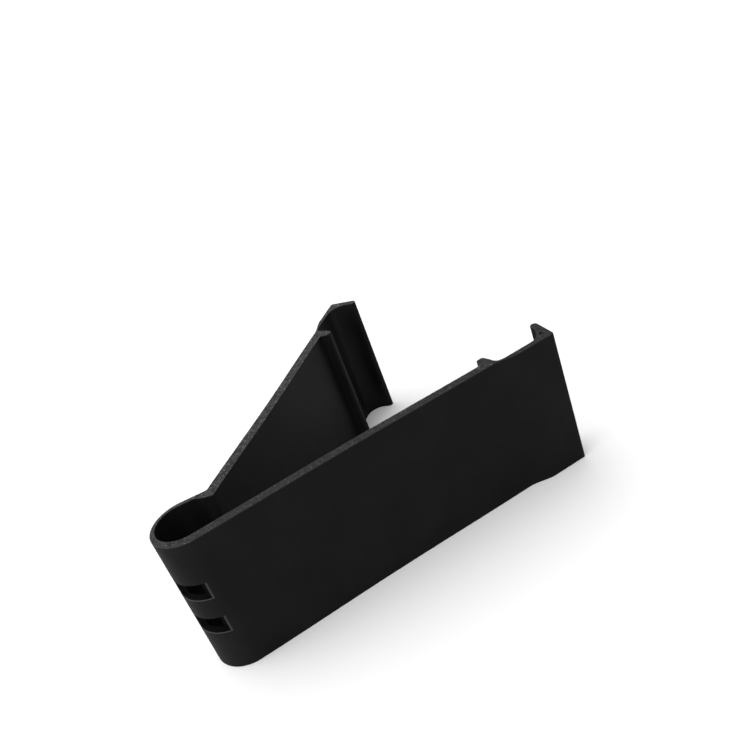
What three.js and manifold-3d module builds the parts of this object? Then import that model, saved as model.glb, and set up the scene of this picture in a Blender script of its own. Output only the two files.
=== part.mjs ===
// Spring-clip phone stand: one black plastic strip profile, cut to length and stood on its cut end.
// Two straight walls leave a round spring loop like the arms of a V. The loop is thick where it
// leaves the long wall and thin where it meets the short one, so the V opens and closes at the thin
// side. Each wall ends in a grip: a barb behind the phone, a thin pocket around the phone's edge and
// a lip in front of it. Two slots are cut through the back of the loop.
//
// Millimetres, +Z up along the extrusion, +Y from the loop to the phone, +X towards the long wall.
// The outline is drawn with the loop's axis at the origin and then moved so that the part stands on
// z = 0 with the middle of its footprint at x = y = 0.
import * as THREE from 'three';
import { mergeVertices } from 'three/addons/utils/BufferGeometryUtils.js';
import Module from 'manifold-3d';

const wasm = await Module();
wasm.setup();

const rad = THREE.MathUtils.degToRad;

// ---- Driving dimensions -------------------------------------------------------------------------
const stripHeight = 35;            // length of profile sawn off
const loopRadius = 7.7;            // outside of the spring loop
const boreOffset = new THREE.Vector2(-0.8, -0.2);   // bore's centre from the loop's, thins one side
const longWallAngle = rad(18.7);   // long wall from +Y, towards +X
const longWallThickness = 2.4;
const shortWallAngle = rad(24.4);  // short wall from +Y, towards -X
const shortWallThickness = 2.7;
const wallBow = 0.35;              // how far each wall bends inwards at its middle
const gripStart = 70.6;            // along each wall, from the loop's axis to the barb
const gripLength = 17.9;           // from there to the grip's outer corner
const rootReach = 9.7;             // along the short wall, from the loop's axis to its outer root
const rootHeel = 1.7;              // how much nearer the short wall's inner root is

// Grip, alike on both walls but for its flare: along the wall (s) and out of its outer face (o).
const barbThickness = 3;           // barb's foot, along the wall
const barbReach = 2.4;             // barb's height over the wall's inner face
const barbTipRadius = 0.7;
const longFlare = 1.5;             // how far the long grip's pocket wall stands out
const shortFlare = 1.1;            // and the short grip's
const flareRun = 5;                // length of the slope up to it, from the barb's front
const pocketFloor = 0.1;           // pocket's floor, under the wall's outer face
const pocketRadius = 4.4;          // pocket's round end, around the phone's edge
const lipThickness = 1.9;
const lipReach = 1;                // how far the lip passes the pocket's centre
const lipSlope = 0.5;              // how much the lip's end face leans forward

// Slots, made by a round cutter that comes in square to the loop's back
const slotHeight = 4.2;
const slotPitch = 9.6;             // between the slots' middles
const slotDepth = 2.5;             // how deep the cutter goes into the loop
const cutterRadius = 8;
const cutterAngle = rad(-71.8);    // where it comes in, from +X

// The joint: the thin side of the loop bends, here at its leftmost point
const flexAngle = Math.PI;
const flexGap = 0.3;               // parting of the two halves at the bend

// ---- Worked out from them -----------------------------------------------------------------------
const arcStep = rad(5);
const longWallNormal = new THREE.Vector2(Math.cos(longWallAngle), -Math.sin(longWallAngle));
// The bore touches the long wall's inner face.
const boreRadius = loopRadius - longWallThickness - longWallNormal.dot(boreOffset);
const cutterDistance = loopRadius - slotDepth + cutterRadius;
const flexHalfAngle = flexGap / 2 / loopRadius;

// Places a point given along a wall (s) and out of its outer face (o). side is +1 for +X.
function wallFrame(side, angle, faceDistance) {
  const along = new THREE.Vector2(side * Math.sin(angle), Math.cos(angle));
  const out = new THREE.Vector2(side * Math.cos(angle), -Math.sin(angle));
  return (s, o) => new THREE.Vector2()
    .addScaledVector(along, s)
    .addScaledVector(out, o + faceDistance);
}
const longFrame = wallFrame(1, longWallAngle, loopRadius);
const shortFrame = wallFrame(-1, shortWallAngle, 0);

// Points on an arc, placed in the plane itself or in a wall's frame.
function arc(cx, cy, radius, from, to, place = (x, y) => new THREE.Vector2(x, y)) {
  const steps = Math.max(2, Math.ceil(Math.abs(to - from) / arcStep));
  return Array.from({ length: steps + 1 }, (_, i) => {
    const angle = from + (to - from) * i / steps;
    return place(cx + radius * Math.cos(angle), cy + radius * Math.sin(angle));
  });
}

function loopArc(from, to) {
  return arc(0, 0, loopRadius, from, to);
}

function boreArc(from, to) {
  return arc(boreOffset.x, boreOffset.y, boreRadius, from, to);
}

function bend(start, control, end, steps = 8) {
  return new THREE.QuadraticBezierCurve(start, control, end).getPoints(steps);
}

function extrude(points, height = stripHeight) {
  const shape = new THREE.Shape(points);
  return new THREE.ExtrudeGeometry(shape, { depth: height, bevelEnabled: false });
}

// ---- Cutting ------------------------------------------------------------------------------------
function toManifold(geometry) {
  const bare = geometry.clone();
  bare.deleteAttribute('normal');
  bare.deleteAttribute('uv');
  const welded = mergeVertices(bare);
  return new wasm.Manifold(new wasm.Mesh({
    numProp: 3,
    vertProperties: new Float32Array(welded.attributes.position.array),
    triVerts: new Uint32Array(welded.index.array),
  }));
}

function toGeometry(solid) {
  const mesh = solid.getMesh();
  const geometry = new THREE.BufferGeometry();
  geometry.setAttribute('position', new THREE.BufferAttribute(mesh.vertProperties, 3));
  geometry.setIndex(new THREE.BufferAttribute(mesh.triVerts, 1));
  geometry.computeVertexNormals();
  return geometry;
}

// ---- Spring loop --------------------------------------------------------------------------------
// From the long wall around the back to the bend on its thin side.
function springLoop() {
  const start = -longWallAngle;
  const end = flexAngle - 2 * Math.PI + flexHalfAngle;
  let loop = toManifold(extrude([...loopArc(start, end), ...boreArc(end, start)]));
  for (const side of [-1, 1]) {
    const cutter = new THREE.CylinderGeometry(cutterRadius, cutterRadius, slotHeight, 72);
    cutter.rotateX(Math.PI / 2);
    cutter.translate(
      cutterDistance * Math.cos(cutterAngle),
      cutterDistance * Math.sin(cutterAngle),
      stripHeight / 2 + side * slotPitch / 2,
    );
    loop = loop.subtract(toManifold(cutter));
  }
  return toGeometry(loop);
}

// ---- Flex web -----------------------------------------------------------------------------------
// The loop's thin side: from the bend it runs straight to the short wall's outer root, then swells
// into a heel that carries the wall's full thickness.
const outerRoot = shortFrame(rootReach, 0);
const innerRoot = shortFrame(rootReach - rootHeel, -shortWallThickness);
const webAngle = outerRoot.angle() + Math.acos(loopRadius / outerRoot.length());

function flexWeb() {
  const start = flexAngle - flexHalfAngle;
  const webDirection = new THREE.Vector2(Math.sin(webAngle), -Math.cos(webAngle));
  const heelStart = boreArc(webAngle, webAngle)[0].addScaledVector(webDirection, boreRadius * 0.6);
  const heelTurn = shortFrame(rootReach - 1.6 * rootHeel, -shortWallThickness / 5);
  return extrude([
    ...loopArc(start, webAngle),
    outerRoot,
    ...bend(innerRoot, heelTurn, heelStart),
    ...boreArc(webAngle, start),
  ]);
}

// ---- Walls --------------------------------------------------------------------------------------
// Both faces bow inwards together, so a wall keeps its thickness.
function wall(place, thickness, outerStart, innerStart) {
  const outerMiddle = (outerStart + gripStart) / 2;
  const innerMiddle = (innerStart + gripStart) / 2;
  return extrude([
    ...bend(place(outerStart, 0), place(outerMiddle, -2 * wallBow), place(gripStart, 0)),
    ...bend(
      place(gripStart, -thickness),
      place(innerMiddle, -thickness - 2 * wallBow),
      place(innerStart, -thickness),
    ),
  ]);
}

function longWall() {
  // The bore's last point is where the long wall's inner face starts.
  const innerStart = boreOffset.dot(new THREE.Vector2(Math.sin(longWallAngle), Math.cos(longWallAngle)));
  return wall(longFrame, longWallThickness, 0, innerStart);
}

function shortWall() {
  return wall(shortFrame, shortWallThickness, rootReach, rootReach - rootHeel);
}

// ---- Grips --------------------------------------------------------------------------------------
// A thin wall flares out around a pocket with a round end, and a lip closes the pocket's front.
function grip(place, thickness, flare) {
  const cornerS = gripStart + gripLength;
  const barbFront = gripStart + barbThickness;
  const pocketO = -pocketFloor - pocketRadius;
  const tipRadius = lipThickness / 2;
  const pocketS = cornerS + lipSlope - lipThickness - pocketRadius;
  const tipS = pocketS + pocketRadius + tipRadius;
  const tipO = pocketO - lipReach;
  return extrude([
    place(gripStart, 0),
    place(barbFront, 0),
    place(barbFront + flareRun, flare),
    place(cornerS, flare),
    ...arc(tipS, tipO, tipRadius, 0, -Math.PI, place),
    ...arc(pocketS, pocketO, pocketRadius, 0, Math.PI / 2, place),
    ...bend(
      place(barbFront + flareRun / 2, -pocketFloor),
      place(barbFront, -pocketFloor),
      place(barbFront, -thickness),
    ),
    place(gripStart, -thickness),
  ]);
}

// ---- Barbs --------------------------------------------------------------------------------------
// A short rounded rib on the wall's inner face, behind the pocket. It leans back towards the loop.
function barb(place, thickness) {
  const tipS = gripStart + barbThickness / 2;
  const tipO = -thickness - barbReach + barbTipRadius;
  return extrude([
    place(gripStart + barbThickness, -thickness),
    place(gripStart, -thickness),
    ...arc(tipS - barbTipRadius / 2, tipO, barbTipRadius, Math.PI, 3 * Math.PI / 2, place),
    ...arc(tipS + barbTipRadius / 2, tipO, barbTipRadius, -Math.PI / 2, 0, place),
  ]);
}

// ---- Assembly -----------------------------------------------------------------------------------
function blackPlastic() {
  return new THREE.MeshStandardMaterial({ color: 0x1b1b1c, roughness: 0.6, metalness: 0 });
}

const pieces = {
  spring_loop: springLoop(),
  long_wall: longWall(),
  long_grip: grip(longFrame, longWallThickness, longFlare),
  long_barb: barb(longFrame, longWallThickness),
  flex_web: flexWeb(),
  short_wall: shortWall(),
  short_grip: grip(shortFrame, shortWallThickness, shortFlare),
  short_barb: barb(shortFrame, shortWallThickness),
};

const outline = new THREE.Box3();
for (const geometry of Object.values(pieces)) {
  geometry.computeBoundingBox();
  outline.union(geometry.boundingBox);
}
const middle = outline.getCenter(new THREE.Vector3());

const stand = new THREE.Group();
stand.name = 'phone_stand';
for (const [name, geometry] of Object.entries(pieces)) {
  geometry.translate(-middle.x, -middle.y, 0);
  const mesh = new THREE.Mesh(geometry, blackPlastic());
  mesh.name = name;
  stand.add(mesh);
}

export default stand;
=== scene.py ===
import math

import bmesh
import bpy
import numpy as np
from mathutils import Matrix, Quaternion, Vector


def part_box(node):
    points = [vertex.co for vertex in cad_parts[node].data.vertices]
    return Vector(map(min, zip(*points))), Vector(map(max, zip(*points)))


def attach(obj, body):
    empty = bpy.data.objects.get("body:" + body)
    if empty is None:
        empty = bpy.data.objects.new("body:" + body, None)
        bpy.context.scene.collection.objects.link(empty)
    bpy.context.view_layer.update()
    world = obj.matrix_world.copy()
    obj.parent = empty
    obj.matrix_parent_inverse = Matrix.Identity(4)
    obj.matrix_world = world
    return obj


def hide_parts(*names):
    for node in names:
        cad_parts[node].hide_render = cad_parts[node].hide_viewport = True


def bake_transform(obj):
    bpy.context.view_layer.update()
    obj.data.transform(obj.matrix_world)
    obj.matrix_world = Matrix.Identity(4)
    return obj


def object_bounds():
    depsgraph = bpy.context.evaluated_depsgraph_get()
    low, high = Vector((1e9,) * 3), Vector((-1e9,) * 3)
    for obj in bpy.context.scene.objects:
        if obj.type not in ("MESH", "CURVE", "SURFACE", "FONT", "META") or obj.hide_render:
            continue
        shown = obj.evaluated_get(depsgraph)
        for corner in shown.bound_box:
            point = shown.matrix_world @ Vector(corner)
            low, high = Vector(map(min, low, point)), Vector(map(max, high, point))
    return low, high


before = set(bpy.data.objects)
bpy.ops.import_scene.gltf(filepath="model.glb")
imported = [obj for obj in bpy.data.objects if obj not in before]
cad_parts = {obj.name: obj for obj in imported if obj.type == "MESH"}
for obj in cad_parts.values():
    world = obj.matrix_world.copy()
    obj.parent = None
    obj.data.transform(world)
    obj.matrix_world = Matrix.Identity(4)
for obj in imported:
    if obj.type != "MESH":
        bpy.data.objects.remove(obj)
cad_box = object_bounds()
mm = 0.001

# ---- Camera ------------------------------------------------------------------------------------------
# Close above the long wall's side and a little behind the loop, rolled so that the long wall climbs
# to the right.
camera_azimuth = math.radians(53.69)
camera_elevation = math.radians(28.34)
camera_roll = math.radians(-20.92)
camera_distance = 207.54 * mm
camera_aim = Vector((2.485, 18.40, 33.85)) * mm

camera_data = bpy.data.cameras.new("camera")
camera_data.lens = 42.34
camera_data.sensor_width = 36.0
camera_data.clip_start = 0.01
camera_data.clip_end = 20.0
camera = bpy.data.objects.new("camera", camera_data)
bpy.context.scene.collection.objects.link(camera)
back = Vector((
    math.sin(camera_azimuth) * math.cos(camera_elevation),
    -math.cos(camera_azimuth) * math.cos(camera_elevation),
    math.sin(camera_elevation),
))
camera.rotation_mode = "QUATERNION"
camera.rotation_quaternion = Quaternion(back, camera_roll) @ (-back).to_track_quat("-Z", "Y")
camera.location = camera_aim + back * camera_distance
bpy.context.scene.camera = camera

# ---- Long wall, its grip and its barb ----------------------------------------------------------------
# The stiff side of the V: a straight wall of extruded black plastic with a hooked pocket for the
# phone's edge and a short barb behind it. Both ends are sawn square and keep the saw's grain and a
# slight burr.
strip_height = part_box("long_wall")[1].z
loop_radius = 7.7 * mm
long_wall_angle = math.radians(18.7)
long_wall_thickness = 2.4 * mm
wall_bow = 0.35 * mm               # how far each wall bends inwards at its middle
grip_start = 70.6 * mm             # along each wall, from the loop's axis to the barb
grip_length = 17.9 * mm            # from there to the grip's outer corner
barb_thickness = 3 * mm
barb_reach = 2.4 * mm
barb_tip_radius = 0.7 * mm
long_flare = 1.5 * mm              # how far the pocket wall stands out
flare_run = 5 * mm                 # length of the slope up to it
flare_ease = 0.8 * mm              # how much further the slope's soft ends run
pocket_floor = 0.1 * mm            # pocket's floor, under the wall's outer face
pocket_radius = 4.4 * mm
lip_thickness = 1.9 * mm
lip_reach = 1 * mm                 # how far the lip passes the pocket's centre
lip_slope = 0.5 * mm               # how much the lip's end face leans forward
corner_radius = 0.8 * mm
bore_offset = np.array([-0.8, -0.2]) * mm    # bore's centre from the loop's, thins one side

# The loop's outline touches the lowest x of one node and the lowest y of the other.
loop_axis = np.array([
    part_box("flex_web")[0].x + loop_radius,
    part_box("spring_loop")[0].y + loop_radius,
])


def wall_frame(side, angle, face_distance):
    """Places points given along a wall (s) and out of its outer face (o):
    loop axis + s * along + (o + face distance) * out."""
    along = np.array([side * math.sin(angle), math.cos(angle)])
    out = np.array([side * math.cos(angle), -math.sin(angle)])

    def place(s, o):
        s, o = np.broadcast_arrays(np.asarray(s, float), np.asarray(o, float))
        return loop_axis + s[..., None] * along + (o[..., None] + face_distance) * out

    return place


def arc(centre, radius, start, end, steps=24):
    """Points on a circle: centre + radius * (cos, sin) of angles evenly spaced from start to end."""
    angle = np.linspace(start, end, steps + 1)
    return np.asarray(centre) + radius * np.stack([np.cos(angle), np.sin(angle)], -1)


def curve(start, control, end, steps=24):
    """Points on a parabola that leaves start towards control and reaches end from it."""
    t = np.linspace(0, 1, steps + 1)[:, None]
    return (1 - t) ** 2 * start + 2 * t * (1 - t) * control + t ** 2 * end


def spaced(points, count):
    """The polyline's points at count + 1 even steps of its length."""
    length = np.concatenate([[0], np.cumsum(np.linalg.norm(np.diff(points, axis=0), axis=1))])
    at = np.linspace(0, length[-1], count + 1)
    return np.stack([np.interp(at, length, points[:, k]) for k in range(2)], -1)


def joined(spans, grid_step=0.22 * mm):
    """Matched outer and inner edges of the strip. Each span is two polylines, cut into the same number
    of even steps, so that a straight line across the plastic joins the points with the same number."""
    outer, inner = [], []
    for outer_span, inner_span in spans:
        lengths = [np.linalg.norm(np.diff(p, axis=0), axis=1).sum() for p in (outer_span, inner_span)]
        count = math.ceil(max(lengths) / grid_step)
        outer.append(spaced(outer_span, count)[:-1])
        inner.append(spaced(inner_span, count)[:-1])
    outer.append(spans[-1][0][-1:])
    inner.append(spans[-1][1][-1:])
    return np.concatenate(outer), np.concatenate(inner)


def bowed(place, start, end, o):
    """A wall's face: straight from start to end, and drawn in by wall_bow * sin^2(pi * share of its
    length)."""
    share = np.linspace(0, 1, 200)
    return place(start + (end - start) * share, o - wall_bow * np.sin(math.pi * share) ** 2)


def barb_span(place, thickness):
    """The wall's outer face opposite the barb, and the barb's outline: up its back, round its tip by two
    quarter circles and down its front. Back and front slope, so the barb is wider at its foot."""
    front = grip_start + barb_thickness
    middle = grip_start + barb_thickness / 2
    tip = -thickness - barb_reach + barb_tip_radius
    near, far = middle - barb_tip_radius / 2, middle + barb_tip_radius / 2
    rise = arc((near, tip), barb_tip_radius, math.pi, 1.5 * math.pi, 10)
    fall = arc((far, tip), barb_tip_radius, -math.pi / 2, 0, 10)
    outline = np.concatenate([[(grip_start, -thickness)], rise, fall, [(front, -thickness)]])
    outer = place([grip_start, front - flare_ease], 0)
    return outer, place(*outline.T)


def grip_spans(place, thickness, flare):
    """The grip as three spans: the pocket wall, which slopes out to the flare as 3 t^2 - 2 t^3, the
    corner around the pocket's arc, and the lip's half-round tip in front of the phone."""
    def placed(points):
        """Points given as pairs of s and o, put in their places."""
        return place(*np.asarray(points, float).T)

    corner = grip_start + grip_length
    front = grip_start + barb_thickness
    pocket_o = -pocket_floor - pocket_radius
    tip_radius = lip_thickness / 2
    pocket_s = corner + lip_slope - lip_thickness - pocket_radius
    tip_s = pocket_s + pocket_radius + tip_radius
    tip_o = pocket_o - lip_reach
    share = np.linspace(0, 1, 40)
    slope = np.stack([
        front - flare_ease + (flare_run + 2 * flare_ease) * share,
        flare * share ** 2 * (3 - 2 * share),
    ], -1)
    floor = curve(
        np.array([front, -thickness]),
        np.array([front, -pocket_floor]),
        np.array([front + flare_run / 2, -pocket_floor]),
    )
    wall = (
        np.concatenate([placed(slope), place([pocket_s], flare)]),
        np.concatenate([placed(floor), place([pocket_s], -pocket_floor)]),
    )
    outer_corner = np.array([corner, flare])
    lip_start = np.array([tip_s + tip_radius, tip_o])
    end_face = (lip_start - outer_corner) / np.linalg.norm(lip_start - outer_corner)
    rounded_corner = curve(
        outer_corner - (corner_radius, 0),
        outer_corner,
        outer_corner + end_face * corner_radius,
    )
    around = (
        np.concatenate([place([pocket_s], flare), placed(rounded_corner), placed([lip_start])]),
        placed(arc((pocket_s, pocket_o), pocket_radius, math.pi / 2, 0)),
    )
    down = placed(arc((tip_s, tip_o), tip_radius, 0, -math.pi / 2, 12))
    up = placed(arc((tip_s, tip_o), tip_radius, -math.pi, -math.pi / 2, 12))
    lip = (down, np.concatenate([around[1][-1:], up]))
    return [wall, around, lip]


def ripple(x, y, size):
    """Uneven height between -1 and 1: the mean of five waves that cross at different angles, with
    lengths around the given size, so it is the same at a place whatever piece asks."""
    waves = 5
    total = 0
    for k in range(waves):
        turn = 0.7 + 1.93 * k
        reach = 2 * math.pi / size * (0.6 + 0.23 * k)
        bent = 1.3 * np.sin(reach * 0.37 * (y * math.cos(turn) - x * math.sin(turn)) + 2.1 * k)
        total = total + np.sin(reach * (x * math.cos(turn) + y * math.sin(turn)) + bent + 1.7 * k)
    return total / waves


def tube(name, points, ends):
    """A solid of rings of points, each ring joined to the next by quads. A ring whose number is in ends
    gets one face over it."""
    columns, ring = points.shape[:2]
    i, j = np.meshgrid(np.arange(columns - 1), np.arange(ring), indexing="ij")
    after = (j + 1) % ring
    quads = np.stack([i * ring + j, (i + 1) * ring + j, (i + 1) * ring + after, i * ring + after], -1)
    caps = [[end % columns * ring + k for k in range(ring)] for end in ends]
    mesh = bpy.data.meshes.new(name)
    mesh.from_pydata(points.reshape(-1, 3), [], quads.reshape(-1, 4).tolist() + caps)
    solid = bpy.data.objects.new(name, mesh)
    bpy.context.scene.collection.objects.link(solid)
    return solid


skin_index, sawn_index = 0, 1      # a strip's two materials, in order


def tidied(solid):
    """Merges points that lie on each other and turns every face outwards. The faces of a sawn end aren't
    flat, so they are halved into triangles."""
    same_point = 0.0005 * mm
    shell = bmesh.new()
    shell.from_mesh(solid.data)
    bmesh.ops.remove_doubles(shell, verts=shell.verts, dist=same_point)
    bmesh.ops.recalc_face_normals(shell, faces=shell.faces)
    sawn_faces = [face for face in shell.faces if face.material_index == sawn_index]
    bmesh.ops.triangulate(shell, faces=sawn_faces)
    shell.to_mesh(solid.data)
    shell.free()
    return solid


def cut(piece, tool, material):
    """Takes the tool's solid out of the piece for good; the new faces get the material."""
    tool.data.materials.append(material)
    difference = piece.modifiers.new("cut", "BOOLEAN")
    difference.operation = "DIFFERENCE"
    difference.solver = "EXACT"
    difference.material_mode = "TRANSFER"
    difference.object = tool
    graph = bpy.context.evaluated_depsgraph_get()
    cut_mesh = bpy.data.meshes.new_from_object(piece.evaluated_get(graph))
    piece.modifiers.clear()
    cut_mesh.name = piece.name
    piece.data = cut_mesh
    bpy.data.objects.remove(tool)


def strip(name, outer, inner, skin, sawn, tears=()):
    """A length of the extrusion: at each pair of outer and inner points a rounded rectangle, as wide as
    the plastic and as tall as the strip, carried along the outline. Its four long corners are quarter
    circles whose radius wavers like a burr, and its sawn ends are pitted inwards by a few hundredths of
    a millimetre. Around each tear (a place and a reach) the end is pitted deeper and marked as torn, by
    the bell exp(-(distance / reach)^2)."""
    edge_radius, burr, burr_length = 0.14 * mm, 0.06 * mm, 1.1 * mm
    pitting, fine_pits, wide_pits, torn_depth = 0.02 * mm, 0.5 * mm, 1.7 * mm, 3
    # shares of the way up a face and across an end, closest together by the edges
    face = np.array([0, 0.003, 0.02, 0.08, 0.2, 0.35, 0.5, 0.65, 0.8, 0.92, 0.98, 0.997, 1])
    across = np.array([0, 0.05, 0.15, 0.3, 0.45, 0.6, 0.75, 0.87, 0.95, 1])
    turn = np.linspace(0, math.pi / 2, 4)
    # one row of this table for each point around the section: its share of the way from outer to inner
    # edge, its inset in edge radii, its height in strip heights and in edge radii, and which way a pit
    # goes there: up from the lower sawn end, down from the upper one, or not at all
    table = []
    table += [(0, 0, t, 1 - 2 * t, 0) for t in face]
    table += [(0, 1 - math.cos(a), 1, math.sin(a) - 1, 0) for a in turn[1:-1]]
    table += [(v, 1, 1, 0, -1) for v in across]
    table += [(1, 1 - math.cos(a), 1, math.sin(a) - 1, 0) for a in turn[-2:0:-1]]
    table += [(1, 0, t, 1 - 2 * t, 0) for t in face[::-1]]
    table += [(1, 1 - math.cos(a), 0, 1 - math.sin(a), 0) for a in turn[1:-1]]
    table += [(v, 1, 0, 0, 1) for v in across[::-1]]
    table += [(0, 1 - math.cos(a), 0, 1 - math.sin(a), 0) for a in turn[-2:0:-1]]
    share, inset, height, radii, end = np.array(table).T

    def outward(edge, side):
        """Unit normals of an edge, out of the plastic."""
        run = np.gradient(edge, axis=0)
        run /= np.linalg.norm(run, axis=1)[:, None]
        return side * np.stack([run[:, 1], -run[:, 0]], -1)

    width = np.linalg.norm(outer - inner, axis=1)
    side = np.sign(np.cross(outer[1] - outer[0], outer[0] - inner[0]))
    outer_radius = edge_radius + burr * ripple(*outer.T, burr_length)
    inner_radius = edge_radius + burr * ripple(*inner.T, burr_length)
    # at the lip's tip, where the plastic runs out, the corners' radius does too
    outer_radius = np.minimum(outer_radius, width / 3)[:, None, None]
    inner_radius = np.minimum(inner_radius, width / 3)[:, None, None]
    share, inset = share[None, :, None], inset[None, :, None]
    at = (1 - share) * (outer[:, None] - outward(outer, -side)[:, None] * outer_radius * inset)
    at = at + share * (inner[:, None] - outward(inner, side)[:, None] * inner_radius * inset)
    radius = ((1 - share) * outer_radius + share * inner_radius)[..., 0]
    # some points would lie a micrometre past the CAD's box, and they are put back on it
    low, high = (np.array(corner)[:2] for corner in cad_box)
    at = np.clip(at, low, high)
    torn = np.zeros(at.shape[:2])
    for place, reach in tears:
        torn = np.maximum(torn, np.exp(-(np.linalg.norm(at - place, axis=-1) / reach) ** 2))
    pits = np.abs(ripple(*at.T, fine_pits)).T + np.abs(ripple(*at.T, wide_pits)).T
    z = height * strip_height + radii * radius + end * pitting * pits * (1 + torn_depth * torn)
    points = np.concatenate([at, z[..., None]], -1)

    piece = tube(name, points, ends=(0,))
    mesh = piece.data
    mesh.materials.append(skin)
    mesh.materials.append(sawn)
    # a face is sawn if it has a point of a sawn end; the face over the first ring, which is last, isn't
    on_end = (end != 0) | (np.roll(end, -1) != 0)
    ring_index = np.where(on_end, sawn_index, skin_index)
    index = np.append(np.tile(ring_index, len(points) - 1), skin_index)
    mesh.polygons.foreach_set("material_index", index.astype(np.int32))
    from_rim = np.minimum(share, 1 - share)[..., 0] * width[:, None] / mm
    for label, value in (("rim", from_rim), ("torn", torn)):
        attribute = mesh.attributes.new(label, "FLOAT", "POINT")
        attribute.data.foreach_set("value", value.reshape(-1).astype(np.float32))
    return tidied(piece)


def crease(piece, angle=math.radians(38)):
    """Shades the surface smooth, with a hard line wherever two faces meet at more than the angle."""
    piece.data.shade_smooth()
    piece.data.set_sharp_from_angle(angle=angle)


def plastic(name, specular):
    """A new plastic material, rough unless it says otherwise, with its shader and the piece's own
    coordinates in millimetres."""
    material = bpy.data.materials.new(name)
    material.use_nodes = True
    nodes, links = material.node_tree.nodes, material.node_tree.links
    shader = nodes["Principled BSDF"]
    shader.inputs["Roughness"].default_value = 0.6
    shader.inputs["Specular IOR Level"].default_value = specular
    place = nodes.new("ShaderNodeTexCoord")
    scale = nodes.new("ShaderNodeVectorMath")
    scale.operation = "SCALE"
    scale.inputs["Scale"].default_value = 1 / mm
    links.new(place.outputs["Object"], scale.inputs[0])
    return material, shader, scale.outputs["Vector"]


def stretched(material, vector, scale):
    """The coordinates multiplied axis by axis, so that a pattern lengthens along the small ones."""
    nodes, links = material.node_tree.nodes, material.node_tree.links
    product = nodes.new("ShaderNodeVectorMath")
    product.operation = "MULTIPLY"
    product.inputs[1].default_value = scale
    links.new(vector, product.inputs[0])
    return product.outputs["Vector"]


def noise(material, vector, scale, detail=2.0):
    """Cloudy noise with the given number of lumps in a millimetre."""
    nodes, links = material.node_tree.nodes, material.node_tree.links
    texture = nodes.new("ShaderNodeTexNoise")
    texture.inputs["Scale"].default_value = scale
    texture.inputs["Detail"].default_value = detail
    links.new(vector, texture.inputs["Vector"])
    return texture.outputs["Fac"]


def remapped(material, value, low, high, to_low, to_high):
    """Value's range from low to high, clamped and mapped onto to_low to to_high."""
    nodes, links = material.node_tree.nodes, material.node_tree.links
    remap = nodes.new("ShaderNodeMapRange")
    limits = {"From Min": low, "From Max": high, "To Min": to_low, "To Max": to_high}
    for socket, number in limits.items():
        remap.inputs[socket].default_value = number
    links.new(value, remap.inputs["Value"])
    return remap.outputs["Result"]


def combined(material, operation, first, second):
    """Two values added or multiplied, either of which may be a plain number."""
    nodes, links = material.node_tree.nodes, material.node_tree.links
    result = nodes.new("ShaderNodeMath")
    result.operation = operation
    for socket, value in zip(result.inputs, (first, second)):
        if isinstance(value, (int, float)):
            socket.default_value = value
        else:
            links.new(value, socket)
    return result.outputs["Value"]


def blended(material, factor, first, second):
    """First colour where the factor is 0, second where it is 1; each is three numbers or a socket."""
    nodes, links = material.node_tree.nodes, material.node_tree.links
    mix = nodes.new("ShaderNodeMix")
    mix.data_type = "RGBA"
    links.new(factor, mix.inputs["Factor"])
    for socket, value in ((mix.inputs[6], first), (mix.inputs[7], second)):
        if isinstance(value, tuple):
            socket.default_value = (*value, 1)
        else:
            links.new(value, socket)
    return mix.outputs[2]


def bumped(material, shader, height, distance):
    """Raises the surface by the height's grey, at most the given distance in metres."""
    nodes, links = material.node_tree.nodes, material.node_tree.links
    bump = nodes.new("ShaderNodeBump")
    bump.inputs["Distance"].default_value = distance
    links.new(height, bump.inputs["Height"])
    links.new(bump.outputs["Normal"], shader.inputs["Normal"])


def extruded_black():
    """The strip's own skin, smoothed by the die: near-black and matte, with a fine grain, faint die
    lines that run up the strip and slightly rubbed patches."""
    material, shader, place = plastic("extruded_black", specular=0.3)
    links = material.node_tree.links
    black, rubbed = (0.006, 0.006, 0.0063), (0.010, 0.010, 0.010)
    die_lines = noise(material, stretched(material, place, (1, 1, 0.015)), 3.0, 3)
    patches = noise(material, place, 0.09, 3)
    grain = noise(material, place, 7.0, 2)
    shade = combined(material, "ADD", combined(material, "MULTIPLY", die_lines, 0.5), patches)
    shade = remapped(material, shade, 0.5, 1.0, 0, 1)
    links.new(blended(material, shade, black, rubbed), shader.inputs["Base Color"])
    patch_rough = remapped(material, patches, 0.3, 0.7, 0.34, 0.44)
    grain_rough = remapped(material, grain, 0.3, 0.7, -0.03, 0.03)
    links.new(combined(material, "ADD", patch_rough, grain_rough), shader.inputs["Roughness"])
    height = combined(material, "ADD", combined(material, "MULTIPLY", grain, 0.35), die_lines)
    bumped(material, shader, height, 0.012 * mm)
    return material


def layer(material, name):
    """One of the strip's own layers of numbers, kept with its points."""
    attribute = material.node_tree.nodes.new("ShaderNodeAttribute")
    attribute.attribute_name = name
    return attribute.outputs["Fac"]


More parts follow.
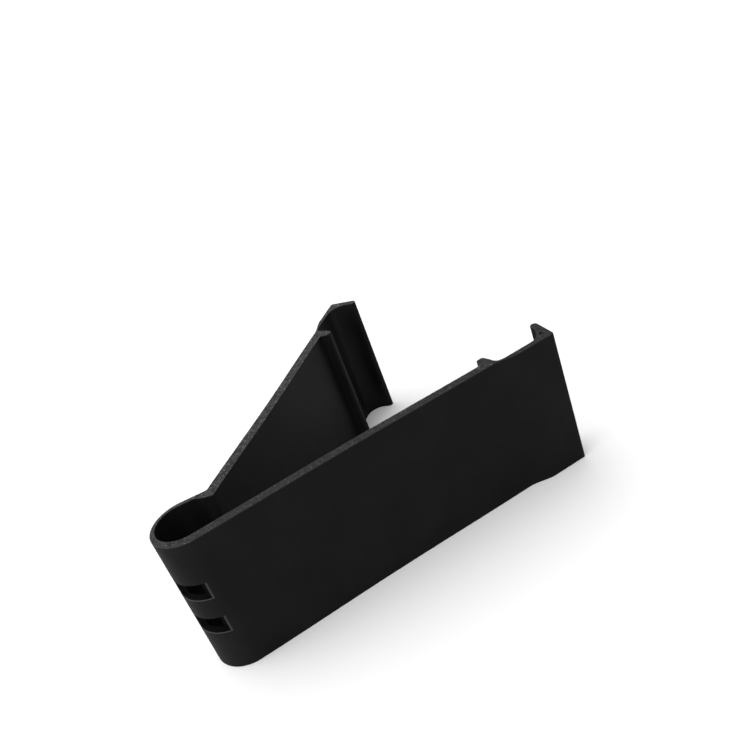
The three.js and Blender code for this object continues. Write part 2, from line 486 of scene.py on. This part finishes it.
def sawn_black():
    """A sawn end: the skin torn off to a paler, coarser grey. Lumps of two thirds of a millimetre,
    finer pores and saw lines along X vary it, torn plastic makes white specks, more of them around the
    tears, and a paler burr follows both edges. Towards the long wall a painted shadow darkens it."""
    material, shader, place = plastic("sawn_black", specular=0.15)
    links = material.node_tree.links
    low_spots, lump_tops = (0.005, 0.005, 0.005), (0.038, 0.038, 0.037)
    pore_black, burr_grey = (0.012, 0.012, 0.012), (0.034, 0.034, 0.033)
    speck_white, painted_shadow_black = (0.17, 0.17, 0.16), (0.006, 0.006, 0.006)
    saw_lines = noise(material, stretched(material, place, (0.12, 1.0, 1.0)), 4.0, 2)
    lumps = noise(material, place, 1.5, 3)
    pores = noise(material, place, 4.5, 2)
    specks = noise(material, place, 2.3, 1)
    torn = layer(material, "torn")
    shade = combined(material, "ADD", combined(material, "MULTIPLY", saw_lines, 0.5), lumps)
    tone = blended(material, remapped(material, shade, 0.64, 0.86, 0, 1), low_spots, lump_tops)
    tone = blended(material, remapped(material, pores, 0.32, 0.44, 1, 0), tone, pore_black)
    burr = remapped(material, layer(material, "rim"), 0.04, 0.3, 0.6, 0)
    tone = blended(material, burr, tone, burr_grey)
    speck = combined(material, "ADD", specks, combined(material, "MULTIPLY", torn, 0.18))
    tone = blended(material, remapped(material, speck, 0.66, 0.72, 0, 1), tone, speck_white)
    # painted shadow: from X = -2 mm to 9 mm, towards the long wall, the sawn end is blended towards
    # near-black
    across = material.node_tree.nodes.new("ShaderNodeSeparateXYZ")
    links.new(place, across.inputs["Vector"])
    shadow_share = remapped(material, across.outputs["X"], -2, 9, 0, 0.6)
    tone = blended(material, shadow_share, tone, painted_shadow_black)
    links.new(tone, shader.inputs["Base Color"])
    height = combined(material, "ADD", combined(material, "MULTIPLY", pores, 0.6), lumps)
    bumped(material, shader, height, 0.08 * mm)
    return material


def milled_black():
    """What the cutter leaves inside the strip: darker than the skin, with fine chatter marks, and a
    pale burr in the last fifth of a millimetre before the loop's outer face."""
    material, shader, place = plastic("milled_black", specular=0.05)
    nodes, links = material.node_tree.nodes, material.node_tree.links
    dark, light, burr_grey = (0.002, 0.002, 0.002), (0.006, 0.006, 0.006), (0.06, 0.06, 0.06)
    outer_face = loop_radius / mm
    from_axis = nodes.new("ShaderNodeVectorMath")
    from_axis.operation = "SUBTRACT"
    from_axis.inputs[1].default_value = (*(loop_axis / mm), 0)
    links.new(place, from_axis.inputs[0])
    distance = nodes.new("ShaderNodeVectorMath")
    distance.operation = "LENGTH"
    links.new(stretched(material, from_axis.outputs["Vector"], (1, 1, 0)), distance.inputs[0])
    chatter = noise(material, stretched(material, place, (1, 1, 0.3)), 5.0, 2)
    tone = blended(material, chatter, dark, light)
    breakout = remapped(material, distance.outputs["Value"], outer_face - 0.2, outer_face - 0.1, 0, 1)
    tone = blended(material, breakout, tone, burr_grey)
    links.new(tone, shader.inputs["Base Color"])
    bumped(material, shader, chatter, 0.02 * mm)
    return material


skin = extruded_black()
sawn = sawn_black()
milled = milled_black()

long_place = wall_frame(1, long_wall_angle, loop_radius)
# The wall's inner face starts where the bore touches it, abreast of the bore's centre.
bore_start = bore_offset @ np.array([math.sin(long_wall_angle), math.cos(long_wall_angle)])
long_outer, long_inner = joined([
    (bowed(long_place, 0, grip_start, 0),
     bowed(long_place, bore_start, grip_start, -long_wall_thickness)),
    barb_span(long_place, long_wall_thickness),
    *grip_spans(long_place, long_wall_thickness, long_flare),
])
# Where the saw tore the plastic by the barb: how far in front of the barb's back, how far in from the
# wall's outer face, and how wide.
barb_tears = [
    (-2.6 * mm, long_wall_thickness, 0.5 * mm),
    (-0.6 * mm, 1.6 * mm, 1.1 * mm),
    (1.9 * mm, 0.4 * mm, 0.5 * mm),
]
long_side = strip("long_side_strip", long_outer, long_inner, skin, sawn, tears=[
    (long_place(grip_start + forward, -inward), reach) for forward, inward, reach in barb_tears
])
# A shrunk hollow in the grip's thick corner, an ellipse that the die leaves all the way up the strip.
hollow_forward, hollow_inward = 16.1 * mm, 1.2 * mm
hollow_length, hollow_width = 0.72 * mm, 1.0 * mm
past_ends = 1 * mm
hollow_turn = np.linspace(0, 2 * math.pi, 20, endpoint=False)
hollow_ring = long_place(
    grip_start + hollow_forward + hollow_length / 2 * np.cos(hollow_turn),
    -hollow_inward + hollow_width / 2 * np.sin(hollow_turn),
)
hollow_ends = (-past_ends, strip_height + past_ends)
hollow = np.stack([np.insert(hollow_ring, 2, z, axis=1) for z in hollow_ends])
cut(long_side, tidied(tube("hollow", hollow, ends=(0, -1))), skin)
crease(long_side)
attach(long_side, "long_side")
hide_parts("long_wall", "long_grip", "long_barb")

# ---- Spring loop, flex web, short wall, its grip and its barb ----------------------------------------
# The loop leaves the long wall thick, thins out on its far side, where it bends, and swells into the
# short wall. All of it is the same strip. A round cutter has been run into its back in two places.
short_wall_angle = math.radians(24.4)
short_wall_thickness = 2.7 * mm
short_flare = 1.1 * mm
root_reach = 9.7 * mm              # along the wall, from the loop's axis to its outer root
root_heel = 1.7 * mm               # how much nearer the wall's inner root is
root_fillet = 0.5 * mm             # outside, where the web meets the wall
long_wall_normal = np.array([math.cos(long_wall_angle), -math.sin(long_wall_angle)])
bore_radius = loop_radius - long_wall_thickness - bore_offset @ long_wall_normal

short_place = wall_frame(-1, short_wall_angle, 0)
outer_root = short_place(root_reach, 0)
inner_root = short_place(root_reach - root_heel, -short_wall_thickness)
# The web leaves the loop's circle at this angle, along the tangent that reaches the wall's outer root.
root_vector = outer_root - loop_axis
tangent_turn = math.acos(loop_radius / np.linalg.norm(root_vector))
web_angle = math.atan2(root_vector[1], root_vector[0]) + tangent_turn
web_direction = np.array([math.sin(web_angle), -math.cos(web_angle)])


def loop_span():
    """The loop, as two circles that aren't concentric, from the long wall clockwise to the web."""
    start, end, steps = -long_wall_angle, web_angle - 2 * math.pi, 400
    return (
        arc(loop_axis, loop_radius, start, end, steps),
        arc(loop_axis + bore_offset, bore_radius, start, end, steps),
    )


def web_span():
    """The web: straight along its outside, with a small fillet where it meets the wall, and a heel on
    its inside that swells to the wall's thickness. The fillet and the heel are parabolas."""
    web_normal = np.array([math.cos(web_angle), math.sin(web_angle)])
    web_start = loop_axis + loop_radius * web_normal
    bore_end = loop_axis + bore_offset + bore_radius * web_normal
    along = short_place(1, 0) - short_place(0, 0)
    fillet = curve(
        outer_root - web_direction * root_fillet,
        outer_root,
        outer_root + along * root_fillet,
    )
    heel = curve(
        bore_end + web_direction * bore_radius * 0.6,
        short_place(root_reach - 1.6 * root_heel, -short_wall_thickness / 5),
        inner_root,
    )
    return np.concatenate([[web_start], fillet]), np.concatenate([[bore_end], heel])


short_outer, short_inner = joined([
    loop_span(),
    web_span(),
    (bowed(short_place, root_reach + root_fillet, grip_start, 0),
     bowed(short_place, root_reach - root_heel, grip_start, -short_wall_thickness)),
    barb_span(short_place, short_wall_thickness),
    *grip_spans(short_place, short_wall_thickness, short_flare),
])
short_side = strip("loop_and_short_side_strip", short_outer, short_inner, skin, sawn)

slot_height = 4.2 * mm
slot_pitch = 9.6 * mm              # between the slots' middles
slot_depth = 2.5 * mm              # how deep the cutter goes into the loop
cutter_radius = 8 * mm
cutter_angle = math.radians(-71.8)           # where it comes in, from +X


def slot_cutter(level):
    """The plastic that the round cutter takes away at one level, as a lens bent round the loop: at each
    angle it reaches from the cutter's circle out past the loop. Just inside the loop's outer face it
    opens wider, by a small chamfer along the slot and a longer one at both of its ends."""
    chamfer, end_bevel, clear = 0.12 * mm, 0.5 * mm, 0.7 * mm
    distance = loop_radius - slot_depth + cutter_radius
    chamfer_start, reach = loop_radius - chamfer, loop_radius + clear
    # where the cutter's circle meets the circle that the chamfer starts on, by the law of cosines
    turn_cosine = distance ** 2 + chamfer_start ** 2 - cutter_radius ** 2
    bevel_turn = math.acos(turn_cosine / (2 * distance * chamfer_start))
    bevel_slope = chamfer / end_bevel * loop_radius
    widest = bevel_turn + (reach - chamfer_start) / bevel_slope
    # angles from the cutter's middle, closest together near both ends of the slot
    turn = widest * np.sin(np.linspace(-math.pi / 2, math.pi / 2, 121))
    near_turn = np.minimum(np.abs(turn), bevel_turn)
    half_chord = np.sqrt(cutter_radius ** 2 - (distance * np.sin(near_turn)) ** 2)
    circle = distance * np.cos(near_turn) - half_chord
    near = (circle + (np.abs(turn) - near_turn) * bevel_slope)[:, None]
    # around the lens's section: its way out from the circle to beyond the loop, and which face it is on
    way = np.array([0, 1, 2, 2, 1, 0])
    face = np.array([-1, -1, -1, 1, 1, 1])
    stops = np.concatenate([near, np.maximum(near, chamfer_start), np.full_like(near, reach)], 1)
    radius = stops[:, way]
    half = slot_height / 2 + np.maximum(0, radius - chamfer_start)
    angle = (cutter_angle + turn)[:, None]
    points = np.stack([
        loop_axis[0] + radius * np.cos(angle),
        loop_axis[1] + radius * np.sin(angle),
        level + face * half,
    ], -1)
    return tidied(tube("cutter", points, ends=()))


for side in (-1, 1):
    cut(short_side, slot_cutter(strip_height / 2 + side * slot_pitch / 2), milled)
crease(short_side)
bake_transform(short_side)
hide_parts("spring_loop", "flex_web", "short_wall", "short_grip", "short_barb")

# ---- Floor and light ---------------------------------------------------------------------------------
# A wide white sheet in a dim studio: it looks white, but gives little light back to the stand. The
# light is soft and comes from all round, with most of it from above, behind the loop and on the short
# wall's side.
floor_half_width = 3.0
floor_seen, floor_felt = 0.95, 0.21
world_seen = 1.0
light_direction = Vector((-0.45, -0.6, 0.6)).normalized()
dimmest, brightest = 0.12, 2.1
dim_cosine = -0.4                  # dimmest where the cosine of the angle from the light is below this


def seen_or_felt(nodes, links, socket, seen, felt):
    """Drives a socket with one value for what is looked at and another for the light it gives."""
    path = nodes.new("ShaderNodeLightPath")
    pick = nodes.new("ShaderNodeMapRange")
    pick.inputs["To Max"].default_value = seen
    if isinstance(felt, float):
        pick.inputs["To Min"].default_value = felt
    else:
        links.new(felt, pick.inputs["To Min"])
    links.new(path.outputs["Is Camera Ray"], pick.inputs["Value"])
    links.new(pick.outputs["Result"], socket)


corners = np.array([(-1, -1, 0), (1, -1, 0), (1, 1, 0), (-1, 1, 0)]) * floor_half_width
floor_mesh = bpy.data.meshes.new("floor")
floor_mesh.from_pydata(corners.tolist(), [], [(0, 1, 2, 3)])
floor = bpy.data.objects.new("floor", floor_mesh)
bpy.context.scene.collection.objects.link(floor)
white = bpy.data.materials.new("white_sheet")
white.use_nodes = True
sheet = white.node_tree.nodes["Principled BSDF"]
sheet.inputs["Roughness"].default_value = 0.9
sheet.inputs["Specular IOR Level"].default_value = 0.0
seen_or_felt(
    white.node_tree.nodes, white.node_tree.links, sheet.inputs["Base Color"], floor_seen, floor_felt
)
floor_mesh.materials.append(white)

world = bpy.data.worlds.new("studio")
world.use_nodes = True
nodes, links = world.node_tree.nodes, world.node_tree.links
background = nodes["Background"]
background.inputs["Color"].default_value = (1, 1, 1, 1)
direction = nodes.new("ShaderNodeTexCoord")
towards_light = nodes.new("ShaderNodeVectorMath")
towards_light.operation = "DOT_PRODUCT"
towards_light.inputs[1].default_value = light_direction
links.new(direction.outputs["Generated"], towards_light.inputs[0])
strength = nodes.new("ShaderNodeMapRange")
strength.inputs["From Min"].default_value = dim_cosine
strength.inputs["To Min"].default_value = dimmest
strength.inputs["To Max"].default_value = brightest
links.new(towards_light.outputs["Value"], strength.inputs["Value"])
seen_or_felt(nodes, links, background.inputs["Strength"], world_seen, strength.outputs["Result"])
bpy.context.scene.world = world
bpy.context.scene.view_settings.view_transform = "Standard"
